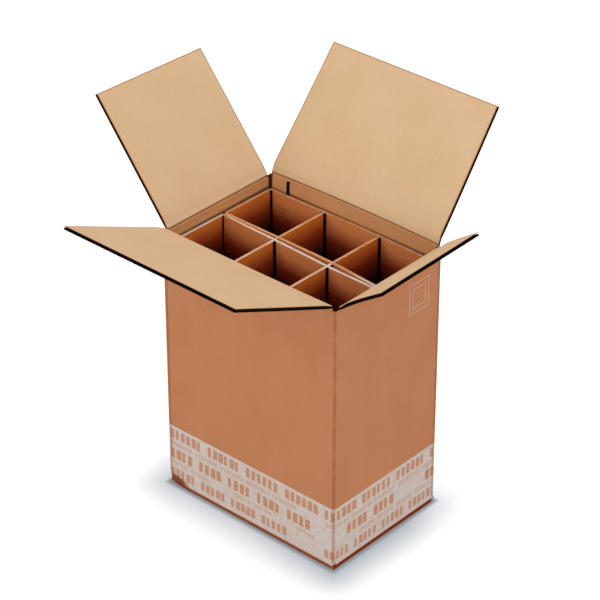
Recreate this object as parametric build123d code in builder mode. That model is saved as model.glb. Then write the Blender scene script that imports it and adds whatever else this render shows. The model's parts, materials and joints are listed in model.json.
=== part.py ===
from build123d import *
import os
from math import cos, radians, sin

os.makedirs("parts", exist_ok=True)

# A carton for bottles, standing open with its divider in it. Lengths are in mm, angles in degrees.
# X runs along the long side, Y along the short side, Z up; the origin is under the middle of the base.

# Carton, measured outside
box_length = 264.0
box_width = 184.0
crease_height = 354.5       # crease of the front flap above the floor
board = 4.0                 # thickness of the carton's board
fold_radius = 4.0           # outside of the folds
inner_fold_radius = 0.8     # inside of the upright folds

# Top flaps: how deep they are, and how far their ends stand back from the carton's corners
flap_shortfall = 15.0       # of the front, back and left flaps' depth against the carton's width
short_flap_depth = 74.0     # right
front_inset = 4.5
back_inset = 9.5
side_inset = 8.5
slot_depth = 2.0            # how far the corner slots reach below the lowest crease

# Lean of each flap at rest, from upright towards the outside
front_lean_angle = 65.8
back_lean_angle = 39.0
left_lean_angle = 38.3
right_lean_angle = 53.3

# Creases of the top flaps: the sides' lowest, then the front one, the back one highest
ply_clearance = 0.3         # between the layers of the closed top
crease_gap = 0.4            # from the crease axis to the board on either side of it
axis_standoff = 0.15        # of the crease axis in front of the outer face

# Flutes, open at the free edges of the top flaps
flute_pitch = 7.9
liner_thickness = 0.45
medium_thickness = 0.55
crushed_length = 9.0        # flat board between the flutes' ends and the crease
flute_margin = 2.5          # least board beside the outermost flute
crest_share = 0.39          # half widths of a flute at its mouth, middle and root, in pitches
waist_share = 0.23
root_share = 0.11
waist_height_share = 0.5    # height of the waist between root and mouth

# Glue tab inside the back wall
tab_board = 2.0             # thickness of the board pressed flat for it
tab_width = 31.0
tab_top_clearance = 0.5     # of its upper edge under the closed back flap
tab_slope_rise = 14.0       # height over which its lower end slopes back
tab_slope_run = 6.0
tab_foot = 12.0             # of its lower corner above the inside of the base

# Bottom flaps, closed and glued: the short walls' innermost, then the back one, the front one outside
bottom_shortfall = 5.0      # of the long walls' flaps against the carton's width
short_bottom_depth = 92.0
bottom_inset = 0.5          # of the long walls' flaps from the outside of the short walls
bottom_lap = 6.0            # height above the inner flaps' underside over which the long walls run square

# Divider
divider_board = 3.0
divider_drop = 18.0         # of its upper edge below the front crease
divider_clearance = 1.0     # to the walls
tab_clearance = 0.5         # to the glue tab
divider_fold_radius = 2.4   # along the middle of the sheet
spine_shift = 1.4           # of the middle wall towards the back
spine_root_gap = 0.6        # between the two middle sheets at the left wall
spine_bow_gap = 8.0         # between them where they stand furthest apart
spine_end_gap = 0.8         # between them at the right wall
spine_bow_x = 45.0          # where they stand furthest apart
spine_bow_radius = 300.0
spine_end_clearance = 1.5   # from their ends to the right side of the liner
partition_clearance = 0.5   # from the cross partitions' ends to the liner
slot_clearance = 0.5        # round a sheet in its slot

# Heights and planes that follow
up = Vector(0, 0, 1)
layer_step = board + ply_clearance
front_crease = crease_height
back_crease = crease_height + layer_step
side_crease = crease_height - layer_step
slot_floor = side_crease - slot_depth
inner_floor = 2 * board      # underside of the short walls' bottom flaps
floor_top = inner_floor + board
divider_top = crease_height - divider_drop
divider_middle = (floor_top + divider_top) / 2
long_flap_depth = box_width - flap_shortfall
long_bottom_depth = box_width - bottom_shortfall
front_span = box_length - 2 * front_inset
back_span = box_length - 2 * back_inset
side_span = box_width - 2 * side_inset

front_out = Vector(0, -1, 0)
back_out = Vector(0, 1, 0)
left_out = Vector(-1, 0, 0)
right_out = Vector(1, 0, 0)


def flap_plane(out, reach, crease, lean):
    """Plane on a crease axis: x along the crease, y to the free edge, z towards the inner face."""
    axis_point = out * (reach + axis_standoff) + up * crease
    inward = up * sin(radians(lean)) - out * cos(radians(lean))
    return Plane(origin=axis_point, x_dir=out.cross(up), z_dir=inward)


def section_plane(flap):
    """Plane across a flap: x to the free edge, y towards the inner face, z along the crease."""
    return Plane(origin=flap.origin, x_dir=flap.y_dir, z_dir=flap.x_dir)


def edge_plane(flap, depth):
    """Plane on a flap's free edge: x along the edge, y towards the inner face, z back to the crease."""
    return Plane(origin=flap.origin + flap.y_dir * depth, x_dir=flap.x_dir, z_dir=-flap.y_dir)


def flute_outline(side):
    """Half a wave between one liner and the medium, round the middle of the board; side is 1 or -1."""
    mouth = board / 2 - liner_thickness
    root = medium_thickness - mouth
    waist = root + (mouth - root) * waist_height_share
    half = [(crest_share, mouth), (waist_share, waist), (root_share, root)]
    one_way = [(share * flute_pitch, side * level) for share, level in half]
    other_way = [(-x, y) for x, y in reversed(one_way)]
    return one_way + other_way


def make_flap(label, out, reach, crease, lean, span, depth):
    """One top flap: board with a mitred crease end and flutes that open at the free edge."""
    plane = flap_plane(out, reach, crease, lean)
    outer = axis_standoff
    inner = axis_standoff + board
    waves = int((span - 2 * flute_margin) / flute_pitch)
    with BuildPart() as flap:
        with BuildSketch(section_plane(plane)):
            with BuildLine():
                Polyline((crease_gap, outer), (depth, outer), (depth, inner),
                         (crease_gap + board, inner), close=True)
            make_face()
        extrude(amount=span / 2, both=True)
        with BuildSketch(edge_plane(plane, depth)):
            with Locations((-flute_pitch / 4, (outer + inner) / 2)):
                with GridLocations(flute_pitch, 0, waves, 1):
                    Polygon(*flute_outline(1), align=None)
            with Locations((flute_pitch / 4, (outer + inner) / 2)):
                with GridLocations(flute_pitch, 0, waves, 1):
                    Polygon(*flute_outline(-1), align=None)
        extrude(amount=depth - board - crushed_length, mode=Mode.SUBTRACT)
    flap.part.label = label
    export_step(flap.part, f"parts/{label}.step")
    return flap


make_flap("front_flap", front_out, box_width / 2, front_crease, front_lean_angle, front_span, long_flap_depth)
make_flap("back_flap", back_out, box_width / 2, back_crease, back_lean_angle, back_span, long_flap_depth)
make_flap("left_flap", left_out, box_length / 2, side_crease, left_lean_angle, side_span, long_flap_depth)
make_flap("right_flap", right_out, box_length / 2, side_crease, right_lean_angle, side_span, short_flap_depth)

# The carton: walls, glue tab and glued bottom flaps are one folded sheet
walls = [
    (front_out, box_width / 2, front_crease, front_span),
    (back_out, box_width / 2, back_crease, back_span),
    (left_out, box_length / 2, side_crease, side_span),
    (right_out, box_length / 2, side_crease, side_span),
]
with BuildPart() as carton:
    with BuildSketch(Plane.XY.offset(inner_floor)):
        RectangleRounded(box_length, box_width, fold_radius)
        RectangleRounded(box_length - 2 * board, box_width - 2 * board, inner_fold_radius,
                         mode=Mode.SUBTRACT)
    extrude(amount=back_crease - inner_floor)
    under_edges = carton.edges().group_by(Axis.Z)[0].filter_by(
        lambda edge: max(abs(edge.center().X) - box_length / 2, abs(edge.center().Y) - box_width / 2)
        > -fold_radius / 2)
    fillet(under_edges, radius=board - inner_fold_radius)

    # Each wall ends in a mitre under its flap
    for out, reach, crease, span in walls:
        with BuildSketch(section_plane(flap_plane(out, reach, crease, 0))):
            with BuildLine():
                Polyline((-crease_gap, 0), (-crease_gap, axis_standoff),
                         (-crease_gap - board, axis_standoff + board),
                         (-crease_gap - board, axis_standoff + board + board),
                         (layer_step + layer_step, axis_standoff + board + board),
                         (layer_step + layer_step, 0), close=True)
            make_face()
        extrude(amount=span / 2, both=True, mode=Mode.SUBTRACT)

    # Glue tab: folded on from the left wall and stuck to the inside of the back wall
    with BuildSketch(Plane.XZ.offset(-(box_width / 2 - board))):
        tab_left = board - box_length / 2 - inner_fold_radius
        tab_right = board - box_length / 2 + tab_width
        tab_top = back_crease - axis_standoff - board - tab_top_clearance
        tab_low = floor_top + tab_foot
        with BuildLine():
            Polyline((tab_left, tab_low), (tab_right - tab_slope_run, tab_low),
                     (tab_right, tab_low + tab_slope_rise), (tab_right, tab_top),
                     (tab_left, tab_top), close=True)
        make_face()
    extrude(amount=tab_board)

    # The corners are slotted down between the flaps
    with BuildSketch(Plane.XY.offset(slot_floor)):
        for side, inset in ((-1, front_inset), (1, back_inset)):
            with Locations((0, side * box_width / 2)):
                with GridLocations(box_length, 0, 2, 1):
                    Rectangle(2 * inset, 2 * side_inset)
    extrude(amount=back_crease, mode=Mode.SUBTRACT)

    # Bottom flaps of the short walls, lying on those of the long walls
    with BuildSketch(Plane.XY.offset(inner_floor)):
        for side in (-1, 1):
            with Locations((side * (box_length - board - short_bottom_depth) / 2, 0)):
                Rectangle(short_bottom_depth - board, box_width - 2 * board)
    extrude(amount=board)
    for side, under in ((-1, 0), (1, board)):
        wall_height = inner_floor + bottom_lap - under
        with BuildSketch(Plane.YZ) as wall_foot:
            with Locations((side * (box_width - board) / 2, under + wall_height / 2)):
                Rectangle(board, wall_height)
            foot_corners = wall_foot.vertices().group_by(Axis.Y)[0].sort_by(Axis.X)
            fillet(foot_corners[0 if side < 0 else -1], radius=board - inner_fold_radius)
        extrude(amount=box_length / 2 - fold_radius, both=True)
        with BuildSketch(Plane.YZ) as long_flap:
            with Locations((side * (box_width - long_bottom_depth) / 2, under + board / 2)):
                Rectangle(long_bottom_depth, board)
            flap_corners = long_flap.vertices().group_by(Axis.Y)[0].sort_by(Axis.X)
            fillet(flap_corners[0 if side < 0 else -1], radius=board - inner_fold_radius)
        extrude(amount=box_length / 2 - bottom_inset, both=True)
carton.part.label = "carton"
export_step(carton.part, "parts/carton.step")

# The divider's liner: one sheet round the inside, its ends turned in side by side as the middle wall
liner_right = box_length / 2 - board - divider_clearance - divider_board / 2
liner_front = divider_board / 2 + divider_clearance + board - box_width / 2
liner_back = box_width / 2 - board - tab_board - tab_clearance - divider_board / 2
spine_y = (liner_front + liner_back) / 2 + spine_shift
spine_root = (spine_root_gap + divider_board) / 2
spine_bow = (spine_bow_gap + divider_board) / 2
spine_end = (spine_end_gap + divider_board) / 2
spine_right = liner_right - divider_board / 2 - spine_end_clearance
partition_x = liner_right / 3


def spine_offset(x):
    """Half the distance between the two middle sheets at x."""
    if x < spine_bow_x:
        return spine_root + (spine_bow - spine_root) * (x + liner_right) / (spine_bow_x + liner_right)
    return spine_end + (spine_bow - spine_end) * (spine_right - x) / (spine_right - spine_bow_x)


with BuildPart() as liner:
    with BuildSketch(Plane.XY.offset(floor_top)):
        with BuildLine():
            FilletPolyline((spine_right, spine_y - spine_end), (spine_bow_x, spine_y - spine_bow),
                           (-liner_right, spine_y - spine_root), (-liner_right, liner_front),
                           (liner_right, liner_front), (liner_right, liner_back),
                           (-liner_right, liner_back), (-liner_right, spine_y + spine_root),
                           (spine_bow_x, spine_y + spine_bow), (spine_right, spine_y + spine_end),
                           radius=[spine_bow_radius, *[divider_fold_radius] * 6, spine_bow_radius])
        trace(line_width=divider_board)
    extrude(amount=divider_top - floor_top)
    with BuildSketch(Plane.XY.offset(floor_top)):
        for x in (-partition_x, partition_x):
            with Locations((x, spine_y)):
                Rectangle(divider_board + 2 * slot_clearance, 2 * (spine_offset(x) + divider_board))
    extrude(amount=divider_middle - floor_top, mode=Mode.SUBTRACT)
liner.part.label = "divider_liner"
export_step(liner.part, "parts/divider_liner.step")


def make_partition(label, x):
    """One cross partition, slotted from its upper edge down to the middle for the two middle sheets."""
    length = liner_back - liner_front - divider_board - 2 * partition_clearance
    slot_bottom = divider_middle - slot_clearance
    with BuildPart() as partition:
        with BuildSketch(Plane.YZ.offset(x)):
            with Locations(((liner_front + liner_back) / 2, (floor_top + divider_top) / 2)):
                Rectangle(length, divider_top - floor_top)
            for side in (-1, 1):
                with Locations((spine_y + side * spine_offset(x), (slot_bottom + divider_top) / 2)):
                    Rectangle(divider_board + 2 * slot_clearance, divider_top - slot_bottom,
                              mode=Mode.SUBTRACT)
        extrude(amount=divider_board / 2, both=True)
    partition.part.label = label
    export_step(partition.part, f"parts/{label}.step")


make_partition("left_partition", -partition_x)
make_partition("right_partition", partition_x)
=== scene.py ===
import json
from math import atan2, pi, radians, tan

import bmesh
import bpy
import numpy as np
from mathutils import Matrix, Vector


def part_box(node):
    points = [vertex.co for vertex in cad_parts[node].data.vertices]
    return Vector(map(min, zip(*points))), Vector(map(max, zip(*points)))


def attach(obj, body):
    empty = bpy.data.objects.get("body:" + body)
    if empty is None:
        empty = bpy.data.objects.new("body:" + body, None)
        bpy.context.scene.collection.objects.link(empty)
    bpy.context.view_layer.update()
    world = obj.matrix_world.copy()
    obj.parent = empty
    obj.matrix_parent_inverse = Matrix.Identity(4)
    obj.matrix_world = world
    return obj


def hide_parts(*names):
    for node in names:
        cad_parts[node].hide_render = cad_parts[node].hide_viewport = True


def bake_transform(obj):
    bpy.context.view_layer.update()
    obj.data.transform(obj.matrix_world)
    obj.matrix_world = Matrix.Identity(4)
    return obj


# Looks of an open bottle carton. Lengths are in metres; X runs along the long side, Y to the back, Z up.

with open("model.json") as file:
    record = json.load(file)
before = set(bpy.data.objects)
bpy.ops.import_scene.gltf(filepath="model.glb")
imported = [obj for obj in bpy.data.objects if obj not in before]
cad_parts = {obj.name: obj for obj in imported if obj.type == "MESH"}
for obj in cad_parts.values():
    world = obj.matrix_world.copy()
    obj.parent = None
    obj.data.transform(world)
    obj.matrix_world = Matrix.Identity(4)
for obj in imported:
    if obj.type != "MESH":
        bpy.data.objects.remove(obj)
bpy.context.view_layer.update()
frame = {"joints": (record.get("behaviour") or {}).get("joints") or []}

# Board, as in the part's source
BOARD = 0.004
CREASE_REACH = 0.0046       # from a crease to where wall and flap begin
CREASE_GROOVE = 0.0008      # half width of the pressed line
GROOVE_DEPTH = 0.0007
EDGE_BORDER = (0.0009, 0.0016)   # where the darker border along cut edges begins to fade and ends
FLAP_STEP = (0.004, 0.008)  # of the flaps' meshes, along the crease and towards the free edge
CREASE_STEP = 0.006
SHEET_STEP = 0.0008         # of the divider's meshes
STANDOFF = 0.00015          # of the crease axes in front of the outer faces
LINER = 0.00042
MEDIUM = 0.00050
FLUTE_PITCH = 0.0079
RIDGE_SHARE = 0.5           # of the flutes' faint ridges in the liners, against the fibres
FOLD_RADIUS = 0.0042
# Outside radius of the lowest folds
FOOT_RADIUS = {"front": 0.0024, "back": 0.0024, "left": 0.0005, "right": 0.0005}
INNER_FOOT_RADIUS = 0.0003
WALL_START = 0.0086         # height at which the long walls begin above their fold
SIDE_START = 0.0126         # the same on the short walls
SAME = 1e-5                 # lengths closer than this are one
HAIR = 1e-6                 # allowance for rounding
FOLD_SHADE_AND_RUB = (0.0022, 0.0034)    # where the painted shade inside the upright folds, and the rubbing beside them outside, begin to fade and end
RUBBED = (("front", False), ("right", True))     # walls rubbed beside a fold, and whether it is their last one
RUBBED_SHARE = 0.8
FRONT_INSET = 0.0045
BACK_INSET = 0.0095
SIDE_INSET = 0.0085
SLOT_DEPTH = 0.002
CORNER_RISE = {"front": 0.0052, "back": 0.0022}   # of the corners above the slots' floor
CORNER_BOARD = 0.0012       # thickness of the front corners' crushed tops

# Divider, as in the part's source
DIVIDER_BOARD = 0.003
DIVIDER_SWELL = 0.0006      # of the sheets' look over the part's thickness
DIVIDER_PITCH = 0.0042
DIVIDER_FOLD = 0.0024
SPINE_SHIFT = 0.0014
SPINE_ROOT_GAP = 0.0006
SPINE_BOW_GAP = 0.0066      # less than the part's, as it shows
SPINE_END_GAP = 0.0008
SPINE_BOW_X = 0.045
SPINE_BOW_RADIUS = 0.3
SPINE_END_CLEARANCE = 0.0015
BETWEEN_SHADE = 0.2         # of the dark between the two middle sheets
SLOT_CLEARANCE = 0.0005
CORNER_SHADE_LINE = (0.0021, 0.0033)   # where the painted shade lines in the cells' corners begin to fade and end

# Bottom flaps and glue tab
LONG_BOTTOM = 0.179
SHORT_BOTTOM = 0.092
BOTTOM_INSET = 0.0005
TAB_WIDTH = 0.031
TAB_BOARD = 0.002
TAB_FOOT = 0.012
TAB_SLANT = 0.0036          # of its cut end
TAB_GAP = 0.0002            # under the back rim
TAB_FOLD_SHADE = (0.0048, 0.0060)      # where the painted shade of the fold beside the left wall begins to fade and ends

# How far each flap is bowed towards its outside and lifted at the two ends of its free edge, its thickness
# beside the crease, and over what length it regains the full thickness
BOW = {"front": 0.0002, "back": 0.0004, "left": 0.0, "right": -0.0013}
LIFT = {"front": (-0.0001, 0.0001), "back": (0.0, 0.0), "left": (0.0, 0.0), "right": (0.0022, 0.0003)}
FLAP_SWELL = {"front": 0.0, "back": 0.0006, "left": 0.0, "right": 0.0}   # of the board's look, outside
CRUSHED = {"front": 0.0034, "back": 0.0034, "left": 0.0034, "right": 0.0030}
FADE = {"front": 0.012, "back": 0.010, "left": 0.010, "right": 0.014}
WALL_FADE = 0.012

# Flaps cut a little out of square: extra depth, extra length at the crease and extra length at the free edge,
# each at the flap's first and second end
EXTRA_DEPTH = {"front": (0.0, 0.0), "back": (-0.0026, -0.0024),
               "left": (0.0046, 0.0008), "right": (0.0, 0.0)}
EXTRA_ROOT = {"front": (0.0, 0.0), "back": (0.0040, 0.0055),
              "left": (0.0010, 0.0020), "right": (0.0035, 0.0030)}
EXTRA_TIP = {"front": (0.0, 0.0), "back": (-0.0010, 0.0014),
             "left": (0.0010, 0.0), "right": (0.0, 0.0)}
# The same along the walls' rims
EXTRA_RIM = {"front": (0.0, 0.0), "back": (0.0040, 0.0055), "left": (0.0, 0.0), "right": (0.0, 0.0)}

# How much higher than their creases the flaps begin, all along and more at the first and second end
ROOT_RISE = {"front": 0.0, "back": 0.0, "left": 0.0006, "right": 0.0030}
END_RISE = {"front": (0.0015, 0.0), "back": (0.0, 0.0), "left": (0.0, 0.0), "right": (0.0, 0.0)}
# How much lower the creases run between wall and flap at the two ends
END_DIP = {"front": (0.0, 0.0), "back": (0.0035, 0.0030), "left": (0.0, 0.0), "right": (0.0, 0.0)}

DIVIDER_SHEAR = 0.0022      # of the divider's back against its front, to the right
SHEAR_END = 0.060           # length beside the right wall over which the shear ends
SPINE_SKEW = 0.0041         # of the middle wall's left end to the back
SKEW_CENTRE = 0.010
BACK_BOW = 0.0020           # of the divider's back towards the wall, beside the glue tab

DENT_REACH = 0.010          # of the knock on the front left foot
DENT_PUSH = (0.0020, 0.0012, 0.0022)

UP = np.array((0.0, 0.0, 1.0))
OUT = {
    "front": np.array((0.0, -1.0, 0.0)),
    "right": np.array((1.0, 0.0, 0.0)),
    "back": np.array((0.0, 1.0, 0.0)),
    "left": np.array((-1.0, 0.0, 0.0)),
}
box_low, box_high = (np.array(corner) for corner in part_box("carton"))
HALF_LENGTH = box_high[0]
HALF_WIDTH = box_high[1]
HALF = {"front": HALF_WIDTH, "back": HALF_WIDTH, "left": HALF_LENGTH, "right": HALF_LENGTH}
INSET = {"front": FRONT_INSET, "back": BACK_INSET, "left": SIDE_INSET, "right": SIDE_INSET}
joints = {joint["child"]: joint for joint in frame["joints"]}
crease = {side: joints[side]["pos_m"][2] for side in OUT}
slot_floor = crease["left"] - SLOT_DEPTH
liner_low, liner_high = (np.array(corner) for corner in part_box("divider_liner"))
liner_x = liner_high[0] - DIVIDER_BOARD / 2
liner_front = liner_low[1] + DIVIDER_BOARD / 2
liner_back = liner_high[1] - DIVIDER_BOARD / 2
floor_top, divider_top = liner_low[2], liner_high[2]
divider_middle = (floor_top + divider_top) / 2
spine_y = (liner_front + liner_back) / 2 + SPINE_SHIFT
spine_root, spine_bow, spine_end = (
    (gap + DIVIDER_BOARD) / 2 for gap in (SPINE_ROOT_GAP, SPINE_BOW_GAP, SPINE_END_GAP))
spine_right = liner_x - DIVIDER_BOARD / 2 - SPINE_END_CLEARANCE
partition_x = liner_x / 3


def smooth(share):
    """Eased step from 0 to 1."""
    share = np.clip(share, 0.0, 1.0)
    return share * share * (3.0 - 2.0 * share)


def fall(distance, full, none):
    """1 up to a distance, easing to 0 at another."""
    return smooth((none - distance) / (none - full))


def board_at(distance, side, fade):
    """Thickness of the carton's board at a distance from a crease."""
    return CRUSHED[side] + (BOARD - CRUSHED[side]) * smooth((distance - CREASE_REACH) / fade)


class BoardMesh:
    """Collects sheets, each two surfaces with edges between them, into one mesh with lengths as UV."""

    def __init__(self, name):
        self.name = name
        self.points = []
        self.faces = []
        self.materials = []
        self.uvs = []
        self.wear = []
        self.count = 0

    def face(self, corners, uvs, material):
        self.faces.append(corners)
        self.uvs.extend(uvs)
        self.materials.append(material)

    def add(self, face_side, other_side, us, vs, keep=None, materials=(0, 1, 2, 2), wrap=False, wear=None):
        """One sheet on a grid; cells outside keep are left out, and every open border gets an edge.
        Materials are those of the face side, the other side, the edges along u and those along v."""
        columns, rows = face_side.shape[:2]
        cells = columns if wrap else columns - 1
        if keep is None:
            keep = np.ones((cells, rows - 1), bool)
        if wear is None:
            wear = np.zeros((columns, rows))
        start = self.count
        self.points.append(face_side.reshape(-1, 3))
        self.points.append(other_side.reshape(-1, 3))
        for side_wear in (wear if isinstance(wear, tuple) else (wear, wear)):
            self.wear.append(side_wear.reshape(-1))
        self.count += 2 * columns * rows

        def index(side, corner):
            return start + side * columns * rows + (corner[0] % columns) * rows + corner[1]

        def kept(i, j):
            if wrap:
                i %= cells
            return 0 <= i < cells and 0 <= j < rows - 1 and keep[i, j]

        for i, j in np.argwhere(keep).tolist():
            ring = [(i, j), (i + 1, j), (i + 1, j + 1), (i, j + 1)]
            uvs = [(us[a], vs[b]) for a, b in ring]
            self.face([index(0, corner) for corner in ring], uvs, materials[0])
            self.face([index(1, corner) for corner in ring[::-1]], uvs[::-1], materials[1])
            beside = [(i, j - 1), (i + 1, j), (i, j + 1), (i - 1, j)]
            for k, neighbour in enumerate(beside):
                if not kept(*neighbour):
                    a, b = ring[k], ring[(k + 1) % 4]
                    along = [(us[c[0]] if k % 2 == 0 else vs[c[1]]) for c in (a, b)]
                    self.face([index(0, b), index(0, a), index(1, a), index(1, b)],
                              [(along[1], 0), (along[0], 0), (along[0], 1), (along[1], 1)],
                              materials[2 + k % 2])

    def build(self, materials, sharp_angle=38.0):
        """The finished object, with loose points dropped and normals outwards."""
        mesh = bpy.data.meshes.new(self.name)
        mesh.from_pydata(np.concatenate(self.points).tolist(), [], self.faces)
        mesh.uv_layers.new(name="board").data.foreach_set("uv", np.array(self.uvs, np.float32).ravel())
        mesh.polygons.foreach_set("material_index", np.array(self.materials, np.int32))
        wear = mesh.attributes.new("wear", "FLOAT", "POINT")
        wear.data.foreach_set("value", np.concatenate(self.wear).astype(np.float32))
        for material in materials:
            mesh.materials.append(material)
        work = bmesh.new()
        work.from_mesh(mesh)
        loose = [vertex for vertex in work.verts if not vertex.link_faces]
        bmesh.ops.delete(work, geom=loose, context="VERTS")
        bmesh.ops.recalc_face_normals(work, faces=work.faces)
        work.to_mesh(mesh)
        work.free()
        mesh.shade_smooth()
        mesh.set_sharp_from_angle(angle=radians(sharp_angle))
        obj = bpy.data.objects.new(self.name, mesh)
        bpy.context.scene.collection.objects.link(obj)
        return obj


class Graph:
    """Adds nodes to a new material and links their sockets."""

    def __init__(self, name):
        self.material = bpy.data.materials.new(name)
        self.material.use_nodes = True
        self.tree = self.material.node_tree
        self.shader = self.tree.nodes["Principled BSDF"]
        self.uv = self.node("ShaderNodeUVMap", uv_map="board").outputs[0]
        parts = self.node("ShaderNodeSeparateXYZ", {0: self.uv})
        self.u, self.v = parts.outputs[0], parts.outputs[1]
        place = self.node("ShaderNodeTexCoord").outputs["Object"]
        parts = self.node("ShaderNodeSeparateXYZ", {0: place})
        self.x, self.y, self.z = parts.outputs[0], parts.outputs[1], parts.outputs[2]

    def node(self, kind, inputs=None, **settings):
        made = self.tree.nodes.new(kind)
        for key, value in settings.items():
            setattr(made, key, value)
        for key, value in (inputs or {}).items():
            self.put(made.inputs[key], value)
        return made

    def put(self, socket, value):
        if isinstance(value, bpy.types.NodeSocket):
            self.tree.links.new(value, socket)
        else:
            socket.default_value = value

    def math(self, operation, a, b=0.0, clamp=False):
        return self.node("ShaderNodeMath", {0: a, 1: b}, operation=operation, use_clamp=clamp).outputs[0]

    def mix(self, share, a, b):
        colours = [(*c, 1.0) if isinstance(c, tuple) and len(c) == 3 else c for c in (a, b)]
        return self.node("ShaderNodeMix", {0: share, 6: colours[0], 7: colours[1]}, data_type="RGBA").outputs[2]

    def tint(self, a, b):
        """Two colours multiplied."""
        colours = [(*c, 1.0) if isinstance(c, tuple) else c for c in (a, b)]
        inputs = {0: 1.0, 6: colours[0], 7: colours[1]}
        return self.node("ShaderNodeMix", inputs, data_type="RGBA", blend_type="MULTIPLY").outputs[2]

    def stretch(self, along, up, shift=0.0):
        """The board's own lengths, scaled and moved, as a texture vector."""
        inputs = {0: self.uv, 1: (shift, shift, shift), 3: (along, up, 1.0)}
        return self.node("ShaderNodeMapping", inputs).outputs[0]

    def noise(self, vector, detail=3.0, roughness=0.55):
        inputs = {"Vector": vector, "Scale": 1.0, "Detail": detail, "Roughness": roughness}
        return self.node("ShaderNodeTexNoise", inputs).outputs["Fac"]

    def span(self, value, low, high):
        """0 below low, 1 above high, straight between."""
        return self.node("ShaderNodeMapRange", {0: value, 1: low, 2: high, 3: 0.0, 4: 1.0}).outputs[0]

    def band(self, value, low, high, soft):
        """1 between low and high with soft borders."""
        above = self.span(value, low - soft, low + soft)
        below = self.span(value, high + soft, high - soft)
        return self.math("MULTIPLY", above, below)

    # Per-point share of rubbed wear, darker border or painted shade, as each material reads it
    def wear(self):
        return self.node("ShaderNodeAttribute", attribute_name="wear").outputs["Fac"]

    def bump(self, height, strength, distance):
        made = self.node("ShaderNodeBump", {"Height": height, "Strength": strength, "Distance": distance})
        self.tree.links.new(made.outputs[0], self.shader.inputs["Normal"])

    def finish(self, colour, roughness, specular=0.18):
        self.put(self.shader.inputs["Base Color"], colour)
        self.put(self.shader.inputs["Roughness"], roughness)
        self.shader.inputs["Specular IOR Level"].default_value = specular
        return self.material


def linear(red, green, blue):
    """Linear colour from the usual 0 to 255 values."""
    shares = (red / 255.0, green / 255.0, blue / 255.0)
    return tuple(s / 12.92 if s <= 0.04045 else ((s + 0.055) / 1.055) ** 2.4 for s in shares)


# Kraft colours
WALL = linear(190, 129, 89)
WALL_DARK = linear(174, 113, 75)
FOLD = linear(128, 68, 34)
# Painted shade of the bottom fold along the walls' foot
FOOT_SHADE = linear(128, 48, 17)
KNOCK = linear(122, 42, 16)
INNER = linear(221, 189, 150)
INNER_DARK = linear(208, 172, 131)
BORDER = linear(176, 112, 60)
# The same liner as the flaps' inner face, painted darker and more orange as shade inside the carton
INSIDE_SHADED = linear(214, 160, 110)
INSIDE_SHADED_DARK = linear(196, 138, 88)
# Painted shade in the upright folds' corners, along the glue tab's fold and behind the divider
INSIDE_SHADE_DARK = linear(52, 10, 6)
# Painted shade along the creases' pressed line
CREASE_GROOVE_SHADE = linear(112, 68, 38)
# Cut edges near black: painted shade of the flutes' hollows
EDGE_SHADE = linear(16, 7, 3)
EDGE_LIGHT = linear(70, 40, 20)
DIVIDER = linear(222, 144, 86)
DIVIDER_DARK = linear(200, 118, 64)
# Shaded copy of the divider's colour for the faces across the carton, which get less light
SIDE_SHADED = linear(218, 126, 52)
SIDE_SHADED_DARK = linear(196, 100, 30)
# Painted shade down the cells
CELL_SHADE_RED = linear(150, 50, 14)
CELL_SHADE_DARK = linear(58, 17, 7)
# Painted shade in the cells' corners and between the middle sheets
CELL_CORNER_SHADE = linear(10, 3, 1)
# Painted highlight on the divider's cut edges in the front half
CUT_HIGHLIGHT = (linear(226, 205, 189), linear(196, 168, 148))
BROWN_CUT = (linear(226, 168, 124), linear(178, 120, 80))
INK = linear(201, 195, 189)

# Depths below the divider's upper edge between which the cells' painted shade turns them red-brown and then
# dark
REDDEN_SHADE = (0.015, 0.036)
DARKEN_SHADE = (0.034, 0.062)
SIDE_SHADE_DEPTH = 0.010          # by which the painted shade on the faces across the carton begins higher up

# Printed band round the foot of the carton, in heights, and its rows of plain blocks in groups: lower edge,
# upper edge, width of a block with its gap, blocks in a group, share of groups there, and strength
BAND_LOW, BAND_HIGH = 0.0062, 0.0862
BLOCK_ROWS = [
    (0.0680, 0.0815, 0.0088, 7.0, 0.82, 0.80),
    (0.0580, 0.0640, 0.0046, 9.0, 0.74, 0.45),
    (0.0395, 0.0535, 0.0094, 5.0, 0.84, 0.85),
    (0.0300, 0.0355, 0.0042, 8.0, 0.66, 0.42),
    (0.0130, 0.0250, 0.0082, 6.0, 0.78, 0.75),
]
BLOCK_SHARE = (0.50, 0.84)  # least and greatest width of a block in its width with the gap
FOOT_SHADE_HEIGHT = 0.0050
KNOCK_PLACE = (-0.121, 0.007)     # middle of the rubbed patch at the knocked corner, along X and in height
KNOCK_SIZE = (0.023, 0.0095)

# Plain outlined panel on the right wall: frames as (u low, u high, height low, height high)
PANEL_FRAMES = [(0.385, 0.420, 0.288, 0.328), (0.391, 0.414, 0.295, 0.321)]
PANEL_LINE = 0.0012


def kraft(graph, light, dark, shift):
    """Colour and height of kraft liner: cloudy patches, fibres along the paper and fine specks."""
    cloud = graph.noise(graph.stretch(24.0, 15.0, shift), 4.0)
    fibre = graph.noise(graph.stretch(260.0, 1500.0, shift), 4.0, 0.65)
    speck = graph.noise(graph.stretch(2400.0, 2400.0, shift), 2.0)
    share = graph.math("ADD", graph.math("MULTIPLY", cloud, 0.6), graph.math("MULTIPLY", fibre, 0.9))
    share = graph.span(share, 0.4, 1.15)
    colour = graph.mix(share, light, dark)
    dots = graph.span(speck, 0.66, 0.74)
    colour = graph.mix(graph.math("MULTIPLY", dots, 0.35), colour, dark)
    return colour, fibre


def washboard(graph, fibre):
    """Height of the liner: faint ridges over the flutes, and fibres."""
    wave = graph.math("SINE", graph.math("MULTIPLY", graph.u, 2.0 * pi / FLUTE_PITCH))
    return graph.math("ADD", graph.math("MULTIPLY", wave, RIDGE_SHARE), fibre)


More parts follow.
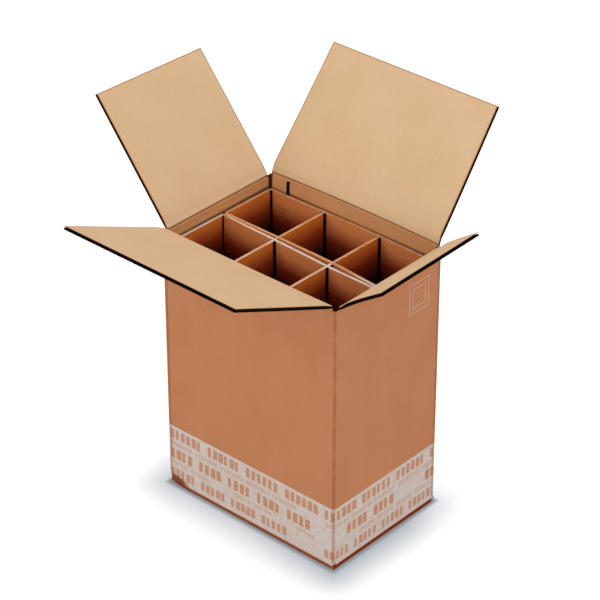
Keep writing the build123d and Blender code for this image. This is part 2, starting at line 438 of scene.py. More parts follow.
def blocks(graph, low, high, width, group, often, seed):
    """One row of plain printed blocks in groups, some groups left out: 1 on a block."""
    def draw(number, shift):
        number = graph.math("ADD", number, seed + shift)
        return graph.node("ShaderNodeTexWhiteNoise", {"W": number}, noise_dimensions="1D").outputs["Value"]

    along = graph.math("DIVIDE", graph.u, width)
    groups = graph.math("DIVIDE", along, group)
    there = graph.math("LESS_THAN", draw(graph.math("FLOOR", groups), 0.0), often)
    gap = graph.math("LESS_THAN", graph.math("FRACT", groups), 1.0 - 1.0 / group)
    there = graph.math("MULTIPLY", there, gap)
    least, most = BLOCK_SHARE
    extra = graph.math("MULTIPLY", draw(graph.math("FLOOR", along), 0.5), most - least)
    share = graph.math("ADD", extra, least)
    within = graph.math("LESS_THAN", graph.math("FRACT", along), share)
    row = graph.band(graph.z, low, high, 0.0002)
    return graph.math("MULTIPLY", graph.math("MULTIPLY", there, within), row)


def frame_line(graph, left, right, low, high):
    """1 on the thin outline of a rectangle."""
    soft = PANEL_LINE / 4
    areas = []
    for inset in (0.0, PANEL_LINE):
        along = graph.band(graph.u, left + inset, right - inset, soft)
        areas.append(graph.math("MULTIPLY", along, graph.band(graph.z, low + inset, high - inset, soft)))
    return graph.math("SUBTRACT", *areas, clamp=True)


def wall_material():
    """Outside of the carton with its printed band, worn folds and painted shade along the foot."""
    graph = Graph("kraft_outer")
    colour, fibre = kraft(graph, WALL, WALL_DARK, 3.1)
    patches = graph.noise(graph.stretch(140.0, 140.0, 2.2), 5.0, 0.7)

    # Ink, thin in places, with bare blocks in it
    bare = 0.0
    for seed, (low, high, width, group, often, strength) in enumerate(BLOCK_ROWS):
        row = graph.math("MULTIPLY", blocks(graph, low, high, width, group, often, 31.0 * seed + 7.0), strength)
        bare = graph.math("MAXIMUM", bare, row)
    ink = graph.math("MULTIPLY", graph.band(graph.z, BAND_LOW, BAND_HIGH, 0.0003),
                     graph.math("SUBTRACT", 1.0, bare))
    for corners in PANEL_FRAMES:
        ink = graph.math("MAXIMUM", ink, graph.math("MULTIPLY", frame_line(graph, *corners), 0.5))
    cover = graph.span(graph.math("ADD", patches, graph.math("MULTIPLY", fibre, 0.5)), 1.05, 0.62)
    cover = graph.math("ADD", graph.math("MULTIPLY", cover, 0.42), 0.54)
    colour = graph.mix(graph.math("MULTIPLY", ink, cover), colour, INK)

    # Folds rubbed brown; painted shade of the bottom fold along the lowest edge of the long walls, and brown
    # higher at the knocked corner
    rubbed = graph.noise(graph.stretch(30.0, 30.0, 2.2), 3.0)
    fold = graph.math("MULTIPLY", graph.wear(), graph.span(rubbed, 0.1, 0.55))
    colour = graph.mix(graph.math("MULTIPLY", fold, 0.6), colour, FOLD)
    short = graph.span(graph.math("ABSOLUTE", graph.x), HALF_LENGTH - 0.003, HALF_LENGTH - 0.001)
    height = graph.math("ADD", graph.math("MULTIPLY", short, -0.0040), FOOT_SHADE_HEIGHT)
    height = graph.math("ADD", height, graph.math("MULTIPLY", patches, 0.002))
    above = graph.math("SUBTRACT", graph.z, height)
    foot = graph.math("MULTIPLY", graph.span(above, 0.0004, -0.0026), graph.span(graph.v, -0.008, -0.004))
    colour = graph.mix(foot, colour, FOOT_SHADE)
    long_way = graph.math("DIVIDE", graph.math("SUBTRACT", graph.x, KNOCK_PLACE[0]), KNOCK_SIZE[0])
    upward = graph.math("DIVIDE", graph.math("SUBTRACT", graph.z, KNOCK_PLACE[1]), KNOCK_SIZE[1])
    inward = graph.math("DIVIDE", graph.math("ADD", graph.y, HALF_WIDTH), KNOCK_SIZE[0])
    squares = [graph.math("POWER", way, 2.0) for way in (long_way, upward, inward)]
    off = graph.math("SQRT", graph.math("ADD", graph.math("ADD", squares[0], squares[1]), squares[2]))
    off = graph.math("ADD", off, graph.math("MULTIPLY", patches, 0.5))
    colour = graph.mix(graph.math("MULTIPLY", graph.span(off, 1.3, 0.8), 0.95), colour, KNOCK)
    graph.bump(washboard(graph, fibre), 0.12, 0.0003)
    return graph.finish(colour, 0.82)


def inner_material():
    """Inside of the flaps, darker brown along the cut edges."""
    graph = Graph("kraft_inner")
    colour, fibre = kraft(graph, INNER, INNER_DARK, 7.7)
    colour = graph.mix(graph.math("MULTIPLY", graph.wear(), 0.85), colour, BORDER)
    graph.bump(washboard(graph, fibre), 0.12, 0.0003)
    return graph.finish(colour, 0.85)


def inside_material():
    """Inside of the walls, a darker, more orange copy of the flaps' inner colour as painted shade, with painted
    shade in the upright folds' corners and behind the divider.
    """
    graph = Graph("kraft_inside")
    colour, fibre = kraft(graph, INSIDE_SHADED, INSIDE_SHADED_DARK, 4.6)
    # Painted shade in the gap behind the divider's upper edge and in the upright folds' corners
    behind = graph.span(graph.z, divider_top + 0.0036, divider_top + 0.0008)
    shade = graph.math("MAXIMUM", graph.math("MULTIPLY", behind, 0.75), graph.wear())
    colour = graph.mix(graph.math("MULTIPLY", shade, 0.95), colour, INSIDE_SHADE_DARK)
    graph.bump(washboard(graph, fibre), 0.12, 0.0003)
    return graph.finish(colour, 0.85)


def crease_material():
    """Inside of a crease: from the wall's colour to the flap's, with painted shade along the pressed line
    between.
    """
    graph = Graph("kraft_crease")
    flap_colour, fibre = kraft(graph, INNER, INNER_DARK, 1.3)
    wall_colour, _ = kraft(graph, INSIDE_SHADED, INSIDE_SHADED_DARK, 1.3)
    colour = graph.mix(graph.span(graph.v, 0.0004, -0.0004), flap_colour, wall_colour)
    # Painted shade along the pressed groove
    line = graph.band(graph.v, -0.0006, 0.0006, 0.0004)
    colour = graph.mix(graph.math("MULTIPLY", line, 0.9), colour, CREASE_GROOVE_SHADE)
    graph.bump(fibre, 0.15, 0.0003)
    return graph.finish(colour, 0.88)


def edge_material():
    """Cut edges of the carton's board and the flaps' wavy sheet, near black as painted shade of the flutes'
    hollows; those at the foot take the painted shade of the foot below and the ink's colour above.
    """
    graph = Graph("cut_edge")
    torn = graph.noise(graph.stretch(900.0, 3.0, 5.5), 3.0)
    colour = graph.mix(graph.span(torn, 0.5, 0.8), EDGE_SHADE, EDGE_LIGHT)
    colour = graph.mix(graph.span(graph.z, 0.0140, 0.0130), colour, INK)
    colour = graph.mix(graph.span(graph.z, 0.0064, 0.0054), colour, FOOT_SHADE)
    graph.bump(torn, 0.3, 0.0004)
    return graph.finish(colour, 0.95, 0.05)


def divider_material():
    """Faces of the divider, with painted shade: darker down the cells, dark lines in their corners, and a more
    orange copy that darkens higher up on the faces across the carton.
    """
    graph = Graph("divider_kraft")
    long_colour, fibre = kraft(graph, DIVIDER, DIVIDER_DARK, 11.9)
    side_shaded_colour, _ = kraft(graph, SIDE_SHADED, SIDE_SHADED_DARK, 11.9)
    # Faces across the carton take the shaded, more orange copy of the colour
    normal = graph.node("ShaderNodeNewGeometry").outputs["Normal"]
    across = graph.math("ABSOLUTE", graph.node("ShaderNodeSeparateXYZ", {0: normal}).outputs[0])
    colour = graph.mix(across, long_colour, side_shaded_colour)
    ridge = graph.math("SINE", graph.math("MULTIPLY", graph.v, 2.0 * pi / DIVIDER_PITCH))
    streak = graph.noise(graph.stretch(26.0, 190.0, 6.1), 3.0)
    blotch = graph.noise(graph.stretch(85.0, 120.0, 9.4), 4.0, 0.65)
    # Painted shade, darker with depth down the cells
    depth = graph.math("SUBTRACT", divider_top + 0.006, graph.z)
    depth = graph.math("SUBTRACT", depth, graph.math("MULTIPLY", streak, 0.010))
    depth = graph.math("ADD", depth, graph.math("MULTIPLY", graph.math("SUBTRACT", blotch, 0.5), 0.012))
    depth = graph.math("ADD", depth, graph.math("MULTIPLY", across, SIDE_SHADE_DEPTH))
    depth = graph.math("ADD", depth, graph.math("MULTIPLY", ridge, 0.0012))
    colour = graph.mix(graph.span(depth, *REDDEN_SHADE), colour, CELL_SHADE_RED)
    colour = graph.mix(graph.span(depth, *DARKEN_SHADE), colour, CELL_SHADE_DARK)
    colour = graph.mix(graph.wear(), colour, CELL_CORNER_SHADE)
    graph.bump(graph.math("ADD", graph.math("MULTIPLY", ridge, 0.6), fibre), 0.2, 0.0003)
    return graph.finish(colour, 0.85)


def divider_edge_material():
    """Cut edges of the divider, with a painted highlight that makes them paler in the front half."""
    graph = Graph("divider_edge")
    torn = graph.noise(graph.stretch(160.0, 2.0, 2.5), 4.0)
    share = graph.span(torn, 0.35, 0.75)
    pale = graph.mix(share, *CUT_HIGHLIGHT)
    brown = graph.mix(share, *BROWN_CUT)
    across = graph.math("LESS_THAN", graph.math("ABSOLUTE", graph.x), partition_x + 0.006)
    across = graph.math("MULTIPLY", across, graph.span(graph.y, spine_y - 0.010, spine_y - 0.014))
    back = graph.span(graph.y, spine_y, spine_y + 0.002)
    share = graph.math("MAXIMUM", back, graph.math("MULTIPLY", across, 0.6))
    colour = graph.mix(share, pale, brown)
    graph.bump(torn, 0.3, 0.0004)
    return graph.finish(colour, 0.92, 0.05)


MATERIALS = {
    "outer": wall_material(),
    "inner": inner_material(),
    "inside": inside_material(),
    "crease": crease_material(),
    "edge": edge_material(),
    "divider": divider_material(),
    "divider_edge": divider_edge_material(),
}


class Flap:
    """Where a top flap lies: its crease axis, its directions and its size."""

    def __init__(self, side):
        low, high = (np.array(corner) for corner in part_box(f"{side}_flap"))
        self.side = side
        self.out = OUT[side]
        self.along = np.cross(self.out, UP)
        self.lean = radians(-joints[side]["range_deg"][0] - 90.0)
        self.origin = np.array(joints[side]["pos_m"])
        self.rise = self.out * np.sin(self.lean) + UP * np.cos(self.lean)
        self.inward = UP * np.sin(self.lean) - self.out * np.cos(self.lean)
        self.span = abs(float((high - low) @ self.along))
        reach = max(float(low @ self.out), float(high @ self.out)) - float(self.origin @ self.out)
        self.depth = (reach + STANDOFF * np.cos(self.lean)) / np.sin(self.lean)

    def place(self, u, v, h):
        """Points u along the crease, v towards the free edge and h towards the inner face."""
        u, v, h = np.broadcast_arrays(u, v, h)
        end = u / self.span + 0.5
        share = np.clip(v / self.depth, 0.0, 1.0)
        first, second = (root * (1 - share) + tip * share
                         for root, tip in zip(EXTRA_ROOT[self.side], EXTRA_TIP[self.side]))
        depths = EXTRA_DEPTH[self.side]
        up = self.root_rise(end) * (1 - share)
        u = u - first * (1 - end) + second * end
        v = v + (depths[0] * (1 - end) + depths[1] * end) * share
        return (self.origin + u[..., None] * self.along + v[..., None] * self.rise
                + (h + STANDOFF)[..., None] * self.inward + up[..., None] * UP)

    def root_rise(self, end):
        """How much higher than its crease the flap begins, from 0 at its first end to 1 at its second."""
        first, second = END_RISE[self.side]
        return ROOT_RISE[self.side] + first * (1 - end) ** 3 + second * end ** 3

    def wall(self, u, v, h):
        """Points of the wall below the crease, by the same lengths."""
        end = u / self.span + 0.5
        first, second = EXTRA_RIM[self.side]
        u = u - first * (1 - end) + second * end
        v = v + self.root_rise(end) * (1 + v / CREASE_REACH)
        return (self.origin + u[..., None] * self.along + v[..., None] * UP
                - (h + STANDOFF)[..., None] * self.out)

    def sag(self, u, v):
        """How far the flap lies off its plane, towards its inner face."""
        end = u / self.span + 0.5
        share = np.clip((v - CREASE_REACH) / (self.depth - CREASE_REACH), 0.0, 1.0)
        lift = LIFT[self.side][0] * (1 - end) + LIFT[self.side][1] * end
        return lift * share ** 2 - BOW[self.side] * np.sin(pi * share ** 0.8)


def flap_board(flap):
    """A flap of fluted board: two liners and the wavy sheet between them."""
    board = BoardMesh(f"{flap.side}_flap_board")
    half = flap.span / 2
    fade = FADE[flap.side]
    inset, fade_in = EDGE_BORDER
    us = np.linspace(fade_in - half, half - fade_in, int(flap.span / FLAP_STEP[0]) + 1)
    us = np.concatenate(((-half, inset - half), us, (half - inset, half)))
    fade_end = min(CREASE_REACH + fade, flap.depth / 2)
    vs = np.concatenate((np.linspace(CREASE_REACH, fade_end, 12)[:-1],
                         np.linspace(fade_end, flap.depth - fade_in, int(flap.depth / FLAP_STEP[1]) + 2),
                         (flap.depth - inset, flap.depth)))
    u, v = np.meshgrid(us, vs, indexing="ij")
    top = flap.sag(u, v) + board_at(v, flap.side, fade)
    low = flap.sag(u, v) - FLAP_SWELL[flap.side] * smooth((v - CREASE_REACH) / fade)
    border = np.zeros_like(u)
    border[[0, 1, -2, -1], :] = 1.0
    border[:, -2:] = 1.0
    board.add(flap.place(u, v, low), flap.place(u, v, low + LINER), us, vs, materials=(0, 2, 2, 2), wear=border)
    board.add(flap.place(u, v, top), flap.place(u, v, top - LINER), us, vs, materials=(1, 2, 2, 2), wear=border)
    waves = int(flap.span / FLUTE_PITCH)
    us = np.linspace(-half, half, 12 * waves + 1)
    vs = np.append(vs[:-1:2], vs[-1])
    u, v = np.meshgrid(us, vs, indexing="ij")
    swell = FLAP_SWELL[flap.side] * smooth((v - CREASE_REACH) / fade)
    thickness = board_at(v, flap.side, fade) + swell
    middle = flap.sag(u, v) - swell + thickness / 2
    swing = (thickness - 2 * LINER - MEDIUM) / 2 * np.sin(2 * pi * u / (flap.span / waves))
    # The wavy sheet takes the cut edges' near-black colour, as painted shade of the flutes' hollows
    board.add(flap.place(u, v, middle + swing - MEDIUM / 2), flap.place(u, v, middle + swing + MEDIUM / 2),
              us, vs, materials=(2, 2, 2, 2))
    obj = board.build([MATERIALS["outer"], MATERIALS["inner"], MATERIALS["edge"]])
    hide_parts(f"{flap.side}_flap")
    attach(obj, flap.side)


def flap_crease(flap):
    """The crushed strip between a wall and its flap."""
    board = BoardMesh(f"{flap.side}_crease")
    half = flap.span / 2
    us = np.linspace(-half, half, int(flap.span / CREASE_STEP) + 1)
    vs = np.linspace(-CREASE_REACH, CREASE_REACH, 25)
    u, v = np.meshgrid(us, vs, indexing="ij")
    turn = smooth((v + CREASE_REACH) / (2 * CREASE_REACH))[..., None]
    thickness = CRUSHED[flap.side] - GROOVE_DEPTH * np.exp(-(v / CREASE_GROOVE) ** 2)
    end = u / flap.span + 0.5
    first, second = END_DIP[flap.side]
    dip = (first * (1 - end) ** 3 + second * end ** 3) * (1 - (v / CREASE_REACH) ** 2)

    def skin(h):
        return (1 - turn) * flap.wall(u, v, h) + turn * flap.place(u, v, h) - dip[..., None] * UP

    board.add(skin(np.zeros_like(v)), skin(thickness), us, vs)
    obj = board.build([MATERIALS["outer"], MATERIALS["crease"], MATERIALS["edge"]])
    end = flap.origin + STANDOFF * flap.inward + CREASE_REACH * flap.rise
    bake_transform(obj)


flaps = [Flap(side) for side in OUT]
for flap in flaps:
    flap_board(flap)
    flap_crease(flap)


def without_repeats(values):
    """The values in order, without those that nearly repeat."""
    values = np.unique(np.concatenate(values))
    return values[np.concatenate(((True,), np.diff(values) > SAME))]


def foot_path(level, depth, outer_radius):
    """Outer and inner line of a wall's fold and bottom flap, from the flap's end up, as (inward, height)."""
    lines = []
    for thickness, radius in ((0.0, outer_radius), (BOARD, INNER_FOOT_RADIUS)):
        centre = thickness + radius
        line = [(run, level + thickness) for run in np.linspace(depth, centre, 12)]
        line.extend((centre - radius * np.sin(angle), level + centre - radius * np.cos(angle))
                    for angle in np.linspace(0, pi / 2, 8)[1:])
        lines.append(np.array(line))
    return lines


def rim_ends(side):
    """Where a wall's rim begins and ends, along the carton's outline."""
    length = HALF_LENGTH if side in ("front", "back") else HALF_WIDTH
    first, second = EXTRA_RIM[side]
    return INSET[side] - length - second, length - INSET[side] + first


def carton_columns():
    """Columns round the carton, wall by wall: wall, share of the corner turn, offset along the wall."""
    columns = []
    for side in OUT:
        length = HALF_LENGTH if side in ("front", "back") else HALF_WIDTH
        straight = length - FOLD_RADIUS
        low, high = rim_ends(side)
        beside = straight - np.array((0.0, FOLD_SHADE_AND_RUB[0], sum(FOLD_SHADE_AND_RUB) / 2, FOLD_SHADE_AND_RUB[1]))
        offsets = without_repeats((np.linspace(low, high, int((high - low) / CREASE_STEP)), -beside, beside))
        columns.extend((side, 0.0, offset) for offset in offsets)
        columns.extend((side, share, straight) for share in (0.17, 0.33, 0.5, 0.67, 0.83))
    return columns


def towards_front(side, offset):
    """Whether a place on the carton's outline is nearer to its front corners."""
    return side == "front" or (side == "right" and offset < 0) or (side == "left" and offset > 0)


def dented(points):
    """Points of the carton with its front left foot knocked in."""
    corner = np.array((-HALF_LENGTH, -HALF_WIDTH, 0.0))
    share = np.exp(-((points - corner) ** 2).sum(axis=1) / DENT_REACH ** 2)
    return points + share[:, None] * np.array(DENT_PUSH)


def carton_body():
    """Walls, folds and bottom flaps as one sheet, with the glue tab."""
    board = BoardMesh("carton_board")
    columns = carton_columns()
    levels = {"front": 0.0, "back": BOARD, "left": 2 * BOARD, "right": 2 * BOARD}
    depths = {"front": LONG_BOTTOM, "back": LONG_BOTTOM, "left": SHORT_BOTTOM, "right": SHORT_BOTTOM}
    ring_low = {"front": WALL_START, "back": WALL_START, "left": SIDE_START, "right": SIDE_START}
    rim = {side: crease[side] - CREASE_REACH for side in OUT}
    corner_top = {side: slot_floor + rise for side, rise in CORNER_RISE.items()}
    heights = without_repeats((np.linspace(0.02, 0.33, 24), np.linspace(0.332, rim["left"], 9),
                               (slot_floor, *corner_top.values(), rim["front"], rim["back"])))
    feet = {side: foot_path(levels[side], depths[side], FOOT_RADIUS[side]) for side in OUT}
    foot_rows = len(feet["front"][0])
    rows = foot_rows + 1 + len(heights)
    outer = np.zeros((len(columns), rows, 3))
    inner = np.zeros_like(outer)
    wear = np.zeros((len(columns), rows))
    score_shade = np.ones((len(columns), rows))
    rounds = []
    for i, (side, share, offset) in enumerate(columns):
        out = OUT[side]
        along = np.cross(UP, out)
        turn = share * pi / 2
        normal = out * np.cos(turn) + along * np.sin(turn)
        centre = along * offset + out * (HALF[side] - FOLD_RADIUS)
        rounds.append(centre + normal * FOLD_RADIUS)
        length = HALF_LENGTH if side in ("front", "back") else HALF_WIDTH
        first, second = rim_ends(side)
        at_rim = first - HAIR <= offset <= second + HAIR
        low = ring_low[side] if share == 0.0 else min(ring_low.values())
        zs = np.concatenate(((low,), heights))
        thickness = np.full(len(zs), BOARD)
        if at_rim and share == 0.0:
            thickness = board_at(crease[side] - zs, side, WALL_FADE)
        elif towards_front(side, offset):
            thickness = CORNER_BOARD + (BOARD - CORNER_BOARD) * smooth((corner_top["front"] - zs) / WALL_FADE)
        outer[i, foot_rows:] = rounds[i] + zs[:, None] * UP
        inner[i, foot_rows:] = outer[i, foot_rows:] - thickness[:, None] * normal
        if share:
            wear[i] = np.exp(-((share - 0.5) / 0.3) ** 2)
        else:
            beside = length - FOLD_RADIUS - abs(offset)
            # Painted shade inside the upright folds
            score_shade[i] = fall(beside, *FOLD_SHADE_AND_RUB)
            if (side, offset > 0) in RUBBED:
                wear[i] = RUBBED_SHARE * fall(beside, *FOLD_SHADE_AND_RUB)
        reach = 1.0
        if side in ("front", "back"):
            reach = (HALF_LENGTH - BOTTOM_INSET) / (HALF_LENGTH - FOLD_RADIUS)
        for line, grid in zip(feet[side], (outer, inner)):
            grid[i, :foot_rows] = reach * offset * along + out * (HALF[side] - line[:, :1]) + line[:, 1:] * UP
    steps = np.linalg.norm(np.roll(np.array(rounds), -1, axis=0) - np.array(rounds), axis=1)
    us = np.concatenate(((0.0,), np.cumsum(steps)))
    line = feet["front"][0]
    lengths = np.concatenate(((0.0,), np.cumsum(np.linalg.norm(np.diff(line, axis=0), axis=1))))
    vs = np.concatenate((lengths - lengths[-1] + FOOT_RADIUS["front"], (WALL_START,), heights))
    keep = np.zeros((len(columns), rows - 1), bool)
    for i, (side, share, offset) in enumerate(columns):
        following = columns[(i + 1) % len(columns)]
        straight = share == 0.0 and following[0] == side and following[1] == 0.0
        first, second = rim_ends(side)
        on_rim = straight and first - HAIR <= offset and following[2] <= second + HAIR
        top = rim[side] if on_rim else corner_top["front" if towards_front(side, offset) else "back"]
        keep[i, foot_rows:] = heights <= top + HAIR
        keep[i, :foot_rows] = straight
    board.add(outer, inner, us, vs, keep, wrap=True, wear=(wear, score_shade))

    # Glue tab on the inside of the back wall
    xs = BOARD - HALF_LENGTH + np.concatenate(((0.0, *TAB_FOLD_SHADE), np.linspace(0.008, TAB_WIDTH, 9)))
    zs = np.concatenate((np.linspace(3 * BOARD + TAB_FOOT, 0.33, 12),
                         np.linspace(0.333, rim["back"] - TAB_GAP, 8)))
    x, z = np.meshgrid(xs, zs, indexing="ij")
    face = HALF_WIDTH - board_at(crease["back"] - z, "back", WALL_FADE)
    far = np.stack((x, face, z), axis=-1)
    slant = TAB_SLANT * smooth((x - xs[0]) / (xs[-1] - xs[0]))
    near = np.stack((x - slant, face - TAB_BOARD, z), axis=-1)
    # Painted shade along the tab's fold beside the left wall
    board.add(near, far, xs, zs, materials=(1, 1, 1, 2), wear=fall(x - xs[0], *TAB_FOLD_SHADE))
    board.points = [dented(points) for points in board.points]
    obj = board.build([MATERIALS["outer"], MATERIALS["inside"], MATERIALS["edge"]])
    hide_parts("carton")
    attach(obj, "box")


carton_body()


def rounded_path(points, radii, step):
    """Points along a path whose corners are rounded, no further apart than step on its straight parts."""
    path = [np.array(points[0])]
    for before, corner, after, radius in zip(points, points[1:], points[2:], radii):
        before, corner, after = np.array(before), np.array(corner), np.array(after)
        arriving = (corner - before) / np.linalg.norm(corner - before)
        leaving = (after - corner) / np.linalg.norm(after - corner)
        turn = atan2(arriving[0] * leaving[1] - arriving[1] * leaving[0], float(arriving @ leaving))
        reach = radius * tan(abs(turn) / 2)
        side = np.sign(turn) * np.array((-arriving[1], arriving[0]))
        centre = corner - arriving * reach + side * radius
        for angle in np.linspace(0, turn, 9):
            spoke = np.array((-side[0] * np.cos(angle) + side[1] * np.sin(angle),
                              -side[0] * np.sin(angle) - side[1] * np.cos(angle)))
            path.append(centre + radius * spoke)
    path.append(np.array(points[-1]))
    path = np.array(path)
    lengths = np.concatenate(((0.0,), np.cumsum(np.linalg.norm(np.diff(path, axis=0), axis=1))))
    stops = without_repeats((lengths, np.arange(0.0, lengths[-1], step)))
    return np.stack([np.interp(stops, lengths, path[:, k]) for k in (0, 1)], axis=-1), stops


def spine_offset(x):
    """Half the distance between the two middle sheets at x."""
    return np.interp(x, (-liner_x, SPINE_BOW_X, spine_right), (spine_root, spine_bow, spine_end))


def sheet(board, place, stops, heights, keep, shades):
    """One divider sheet; place gives points for stops, offsets and heights."""
    half = (DIVIDER_BOARD + DIVIDER_SWELL) / 2
    sides = [place(stops, np.full(len(stops), offset), heights) for offset in (half, -half)]
    wear = tuple(np.repeat(shade[:, None], len(heights), axis=1) for shade in shades)
    board.add(*sides, stops, heights, keep, materials=(0, 0, 1, 1), wear=wear)


def skewed(points):
    """Points of the divider as it stands, a little askew in the carton."""
    x, y = points[:, 0], points[:, 1]
    back = (y - liner_front) / (liner_back - liner_front)
    middle = np.clip(1.0 - np.abs(y - spine_y) / (liner_back - spine_y), 0.0, 1.0)
    moved = points.copy()
    moved[:, 0] += DIVIDER_SHEAR * back * np.clip((liner_x - x) / SHEAR_END, 0.0, 1.0)
    beside_tab = BOARD + TAB_WIDTH - HALF_LENGTH
    moved[:, 1] += BACK_BOW * back * np.sin(pi * np.clip((x - beside_tab) / (liner_x - beside_tab), 0.0, 1.0))
    moved[:, 1] += SPINE_SKEW * middle * (SKEW_CENTRE - x) / liner_x
    return moved


def finish_divider(board, node):
    board.points = [skewed(points) for points in board.points]
    obj = board.build([MATERIALS["divider"], MATERIALS["divider_edge"]])
    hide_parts(node)
    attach(obj, "box")


def divider_sheet():
    """The liner with its two ends turned in as the middle wall."""
    points = [(spine_right, spine_y - spine_end), (SPINE_BOW_X, spine_y - spine_bow),
              (-liner_x, spine_y - spine_root), (-liner_x, liner_front), (liner_x, liner_front),
              (liner_x, liner_back), (-liner_x, liner_back), (-liner_x, spine_y + spine_root),
              (SPINE_BOW_X, spine_y + spine_bow), (spine_right, spine_y + spine_end)]
    radii = [SPINE_BOW_RADIUS, *[DIVIDER_FOLD] * 6, SPINE_BOW_RADIUS]
    board = BoardMesh("divider_sheet")

    path, stops = rounded_path(points, radii, SHEET_STEP)
    ahead = np.gradient(path, stops, axis=0)
    ahead /= np.linalg.norm(ahead, axis=1)[:, None]
    normals = np.stack((ahead[:, 1], -ahead[:, 0]), axis=-1)

    def place(stops, offsets, heights):
        flat = path + normals * offsets[:, None]
        tall = np.repeat(flat[:, None, :], len(heights), axis=1)
        levels = np.broadcast_to(heights[None, :, None], (*tall.shape[:2], 1))
        return np.concatenate((tall, levels), axis=-1)

    def slotted(heights):
        middle = (path[1:] + path[:-1]) / 2
        slot_half = (DIVIDER_BOARD + DIVIDER_SWELL) / 2 + SLOT_CLEARANCE
        crossing = np.abs(np.abs(middle[:, 0]) - partition_x) < slot_half
        crossing &= np.abs(middle[:, 1] - spine_y) < spine_bow + DIVIDER_BOARD
        low = (heights[1:] + heights[:-1]) / 2 < divider_middle
        return ~(crossing[:, None] & low[None, :])

    # Painted shade: dark lines at the folds and where other sheets meet this one, and between the two middle
    # sheets
    x, y = path[:, 0], path[:, 1]
    half = DIVIDER_BOARD / 2
    across = np.abs(np.abs(x) - partition_x) - half
    at_side = np.abs(x) > liner_x - DIVIDER_FOLD
    along = np.where(at_side, np.abs(np.abs(y - spine_y) - spine_root) - half, 1.0)
    folds = np.min([np.hypot(np.abs(x) - liner_x, y - end) for end in (liner_front, liner_back)], axis=0)
    corners = fall(np.minimum(np.minimum(across, along), folds - half), *CORNER_SHADE_LINE)
    between = np.where(np.abs(y - spine_y) < spine_bow + half, BETWEEN_SHADE, corners)
    heights = np.concatenate(((floor_top,), np.linspace(divider_middle, divider_top, 5)))
    sheet(board, place, stops, heights, slotted(heights), (between, corners))
    finish_divider(board, "divider_liner")


def partition_sheet(node, x):
    """One cross partition, slotted from its upper edge for the two middle sheets."""
    board = BoardMesh(f"{node}_sheet")
    low, high = (np.array(corner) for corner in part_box(node))
    reach = DIVIDER_BOARD / 2 + SLOT_CLEARANCE
    slots = [spine_y + side * spine_offset(x) for side in (-1, 1)]
    borders = [slot + side * reach for slot in slots for side in (-1, 1)]
    slot_bottom = divider_middle - SLOT_CLEARANCE

    def place(stops, offsets, heights):
        grid = np.zeros((len(stops), len(heights), 3))
        grid[..., 0] = x + offsets[:, None]
        grid[..., 1] = stops[:, None]
        grid[..., 2] = heights[None, :]
        return grid

    stops = without_repeats((np.arange(low[1], high[1], SHEET_STEP), borders, (high[1],)))
    heights = np.concatenate(((floor_top,), np.linspace(slot_bottom, divider_top, 5)))
    middle = (stops[1:] + stops[:-1]) / 2
    cut = np.min([np.abs(middle - slot) for slot in slots], axis=0) < reach
    tall = (heights[1:] + heights[:-1]) / 2 > slot_bottom
    # Painted shade lines at the partition's ends and beside its slots
    nearest = np.min([np.abs(stops - corner) for corner in (low[1], high[1], *borders)], axis=0)
    shade = fall(nearest, *CORNER_SHADE_LINE)
    sheet(board, place, stops, heights, ~(cut[:, None] & tall[None, :]), (shade, shade))
    finish_divider(board, node)


divider_sheet()
partition_sheet("left_partition", -partition_x)
partition_sheet("right_partition", partition_x)

# Floor: its colour for bounced light and as seen, what it adds as seen, and the shares of both left by the
# painted shadow close to the carton and at its foot
FLOOR_REACH = 8.0
FLOOR_BOUNCE = (0.80, 0.80, 0.80)
FLOOR_SEEN = (0.42, 0.42, 0.42)
FLOOR_GLOW = (0.73, 0.73, 0.73)
FLOOR_SHADE = (0.40, 0.46, 0.51)
FLOOR_CONTACT = (0.24, 0.26, 0.26)
SHADE_REACH = 0.058
SHADE_LEAST = 0.8           # strength of the painted shadow in the left half; it grows to SHADE_RIGHT and fades behind
SHADE_RIGHT = 0.2
SHADE_MORE = 0.36
SHADE_BEHIND = (0.03, 0.11)
SHADE_LESS = 0.6
CONTACT_REACH = 0.006
FLOOR_DROP = 0.0004         # of the floor below the carton

# Camera
AZIMUTH = radians(41.83)
ELEVATION = radians(32.04)
TARGET = Vector((-0.0018, 0.0, 0.2707))
DISTANCE = 2.998
FOCAL = 156.0
camera = bpy.data.objects.new("camera", bpy.data.cameras.new("camera"))
bpy.context.scene.collection.objects.link(camera)
level = np.cos(ELEVATION)
toward = Vector((np.sin(AZIMUTH) * level, -np.cos(AZIMUTH) * level, np.sin(ELEVATION)))
camera.location = TARGET + toward * DISTANCE
camera.rotation_euler = (-toward).to_track_quat("-Z", "Y").to_euler()
camera.data.lens = FOCAL
camera.data.sensor_width = 36.0
camera.data.clip_end = 50.0
bpy.context.scene.camera = camera


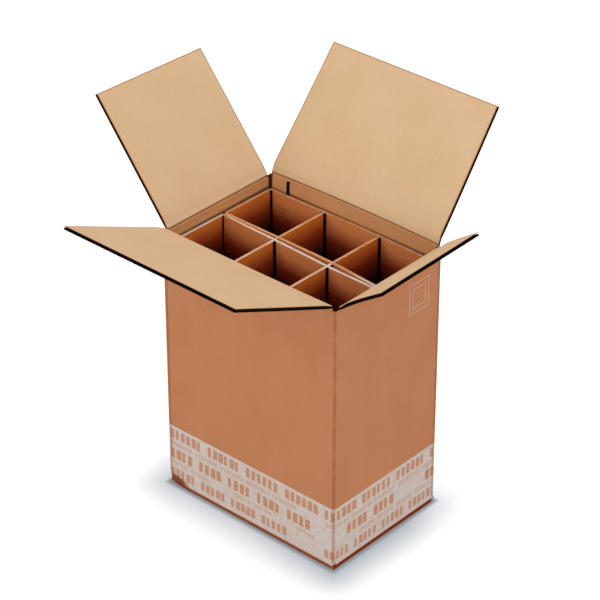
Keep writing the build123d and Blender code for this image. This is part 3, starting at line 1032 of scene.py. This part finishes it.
def stage_floor():
    """White floor that takes the carton's shadow, with a painted soft shadow, a little blue, round the carton's
    foot by the distance from it.
    """
    mesh = bpy.data.meshes.new("floor")
    corners = [(-FLOOR_REACH, -FLOOR_REACH, 0), (FLOOR_REACH, -FLOOR_REACH, 0),
               (FLOOR_REACH, FLOOR_REACH, 0), (-FLOOR_REACH, FLOOR_REACH, 0)]
    mesh.from_pydata(corners, [], [(0, 1, 2, 3)])
    floor = bpy.data.objects.new("floor", mesh)
    floor.location.z = -FLOOR_DROP
    bpy.context.scene.collection.objects.link(floor)
    graph = Graph("floor_white")
    sides = []
    for place, half in ((graph.x, HALF_LENGTH), (graph.y, HALF_WIDTH)):
        beyond = graph.math("SUBTRACT", graph.math("ABSOLUTE", place), half)
        sides.append(graph.math("POWER", graph.math("MAXIMUM", beyond, 0.0), 2.0))
    distance = graph.math("SQRT", graph.math("ADD", *sides))
    # Painted shadow: darker and bluer towards the carton's foot, stronger on the right and weaker behind
    near = graph.math("POWER", graph.span(distance, SHADE_REACH, 0.0), 1.15)
    right = graph.math("MULTIPLY", graph.span(graph.x, 0.0, SHADE_RIGHT), SHADE_MORE)
    near = graph.math("MULTIPLY", near, graph.math("ADD", right, SHADE_LEAST))
    behind = graph.math("MULTIPLY", graph.span(graph.y, *SHADE_BEHIND), SHADE_LESS)
    near = graph.math("MULTIPLY", near, graph.math("SUBTRACT", 1.0, behind))
    shade = graph.mix(near, (1.0, 1.0, 1.0), FLOOR_SHADE)
    shade = graph.mix(graph.span(distance, CONTACT_REACH, 0.0), shade, FLOOR_CONTACT)
    rays = graph.node("ShaderNodeLightPath").outputs["Is Camera Ray"]
    glow = graph.node("ShaderNodeEmission", {"Color": graph.tint(shade, FLOOR_GLOW), "Strength": rays})
    seen = graph.mix(rays, FLOOR_BOUNCE, graph.tint(shade, FLOOR_SEEN))
    diffuse = graph.node("ShaderNodeBsdfDiffuse", {"Color": seen})
    total = graph.node("ShaderNodeAddShader", {0: diffuse.outputs[0], 1: glow.outputs[0]})
    output = graph.tree.nodes["Material Output"]
    graph.tree.links.new(total.outputs[0], output.inputs["Surface"])
    graph.tree.nodes.remove(graph.shader)
    mesh.materials.append(graph.material)


def world_light(level):
    """Even white surroundings; the camera sees them as plain white."""
    world = bpy.data.worlds.new("studio")
    bpy.context.scene.world = world
    world.use_nodes = True
    tree = world.node_tree
    background = tree.nodes["Background"]
    rays = tree.nodes.new("ShaderNodeLightPath")
    strength = tree.nodes.new("ShaderNodeMix")
    strength.inputs[2].default_value = level
    strength.inputs[3].default_value = 1.0
    tree.links.new(rays.outputs["Is Camera Ray"], strength.inputs[0])
    tree.links.new(strength.outputs[0], background.inputs["Strength"])
    background.inputs["Color"].default_value = (1.0, 1.0, 1.0, 1.0)


def soft_box(name, place, aim, size, power):
    """A large square lamp."""
    lamp = bpy.data.lights.new(name, "AREA")
    lamp.shape = "SQUARE"
    lamp.size = size
    lamp.energy = power
    obj = bpy.data.objects.new(name, lamp)
    obj.location = place
    obj.rotation_euler = (Vector(aim) - Vector(place)).to_track_quat("-Z", "Y").to_euler()
    bpy.context.scene.collection.objects.link(obj)


stage_floor()
world_light(0.64)
soft_box("key", (-1.0, -2.4, 1.4), (0.0, 0.0, 0.2), 1.8, 27.0)
soft_box("side", (2.5, -0.9, 1.2), (0.0, 0.0, 0.2), 1.8, 25.0)
soft_box("top", (-0.3, 1.8, 2.4), (0.0, 0.0, 0.3), 1.8, 23.0)

bpy.context.scene.view_settings.view_transform = "Standard"
